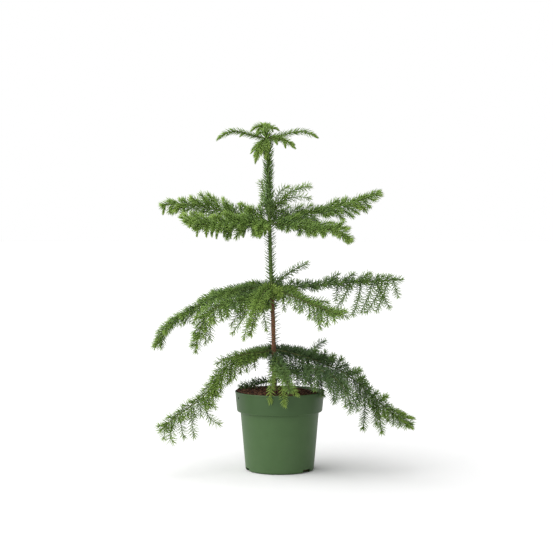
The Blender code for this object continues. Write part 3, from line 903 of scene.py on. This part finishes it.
def needle_arrays(feet, heading, out, lengths, foot_angle, tip_angle, width):
    """Curved, pointed, three-sided needles from arrays of their feet and directions."""
    count = len(feet)
    side = np.cross(heading, out)
    place = feet.copy()
    points = []
    for k, station in enumerate(needle_stations):
        turn_here = foot_angle + (tip_angle - foot_angle) * station
        going = np.cos(turn_here)[:, None] * heading + np.sin(turn_here)[:, None] * out
        if k:
            place = place + going * (lengths * (station - needle_stations[k - 1]))[:, None]
        if k == len(needle_stations) - 1:
            points.append(place[:, None, :])
            break
        thick = (width * needle_taper)[:, None]
        back = np.cross(side, going)
        points.append(np.stack([place + side * thick * 0.5, place - side * thick * 0.5,
                                place - back * thick * 0.55], axis=1))
    points = np.concatenate(points, axis=1)
    pattern = [(0, 2, 1)]
    for ring in range(len(needle_stations) - 2):
        for k in range(3):
            a, b = ring * 3 + k, ring * 3 + (k + 1) % 3
            pattern += [(a, b, b + 3), (a, b + 3, a + 3)]
    tip = points.shape[1] - 1
    last = tip - 3
    pattern += [(last + k, last + (k + 1) % 3, tip) for k in range(3)]
    faces = np.array(pattern)[None] + (np.arange(count) * points.shape[1])[:, None, None]
    return points.reshape(-1, 3), faces.reshape(-1, 3)


def needles_on(points, radii, form, youth_and_light, first, stout=1.0):
    """Needles round one axis, as a list of (shade, arrays), one for each stretch of it."""
    length, (foot_angle, tip_angle), density, crown, closing = form
    steps = np.linalg.norm(np.diff(points, axis=0), axis=1)
    along = np.concatenate([[0.0], np.cumsum(steps)])
    whole = along[-1]
    places = []
    reach = first
    while reach < whole:
        crowd = 1.0 + tip_crowding * max(0.0, 1.0 - (whole - reach) / crown)
        reach += growth_dice.uniform(0.6, 1.4) / (density * crowd)
        places.append(min(reach, whole))
    places = np.array(places)
    count = len(places)
    heading, across, lift = frames_along(points)
    feet, ahead, cross, up = [
        np.stack([np.interp(places, along, values[:, k]) for k in range(3)], -1)
        for values in (points, heading, across, lift)]
    turns = np.arange(count) * golden_angle + growth_dice.uniform(-0.35, 0.35, count)
    out = np.cos(turns)[:, None] * cross + np.sin(turns)[:, None] * up
    out /= np.linalg.norm(out, axis=1, keepdims=True)
    feet = feet + out * np.interp(places, along, radii)[:, None] * 0.8
    young = np.clip(1.0 - (whole - places) / crown, 0.0, 1.0)
    lengths = length * (1.0 - tip_shortening * young) * growth_dice.uniform(0.88, 1.10, count)
    tilt = growth_dice.uniform(-6, 6, count)
    foot_turn = np.radians(foot_angle * (1.0 - closing * young) + tilt)
    tip_turn = np.radians(tip_angle * (1.0 - 1.3 * closing * young) + tilt)
    width = stout * needle_width * (1.0 - tip_thinning * young) * growth_dice.uniform(0.85, 1.15, count)
    # The green follows youth, which for some boughs is painted light and shade.
    shades = youth_and_light + tip_youth * young + tip_youth * places / whole
    level = np.clip((shades * len(greens)).astype(int), 0, len(greens) - 1)
    made = []
    for shade in np.unique(level):
        some = level == shade
        made.append((shade, needle_arrays(feet[some], ahead[some], out[some], lengths[some],
                                          foot_turn[some], tip_turn[some], width[some])))
    return made


stock = {shade: [] for shade in range(len(greens))}
for points, radii, youth_and_light, main, form in shoots:
    first = bough_bare if main else shoot_bare
    for shade, arrays in needles_on(points, radii, needle_forms[form], youth_and_light, first):
        stock[shade].append(arrays)

# The stem's own needles are thin and level on the old wood, stouter and more upright on the new.
# stretch: its ends, length and angles of its needles, needles per metre, their youth and stoutness
stem_needles = {
    "old_wood": (0.142, 0.298, 0.0128, (84, 70), 1000, 0.10, 1.25),
    "new_wood": (0.300, 0.440, 0.0116, (74, 52), 1600, 0.34, 1.2),
    "leader": (0.440, 0.570, 0.0134, (60, 40), 2200, 0.42, 1.6),
}
for low, high, length, angles_of, density, youth_and_light, stout in stem_needles.values():
    heights = np.arange(low, high, 0.002)
    form = (length, angles_of, density, 0.001, 0.0)
    for shade, arrays in needles_on(stem_centre(heights), stem_radius_at(heights), form, youth_and_light, 0.0, stout):
        stock[shade].append(arrays)

for shade, (shade_name, colour) in enumerate(greens.items()):
    finish = {"Base Color": colour, "Roughness": 0.55, "Specular IOR Level": 0.2}
    flesh = new_material(f"needles_{shade_name}", finish)[0]
    points, faces = join(stock[shade])
    shares = math.ceil(len(faces) / piece_limit)
    cuts = [len(faces) // faces_per_needle * k // shares * faces_per_needle for k in range(shares + 1)]
    for k in range(shares):
        chosen = faces[cuts[k]:cuts[k + 1]]
        base = chosen.min()
        name = f"needles_{shade_name}" + (f"_{k + 1}" if shares > 1 else "")
        piece = build_mesh(name, points[base:chosen.max() + 1], chosen - base, flesh)
        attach(piece, "root")
        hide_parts(*spray_nodes)
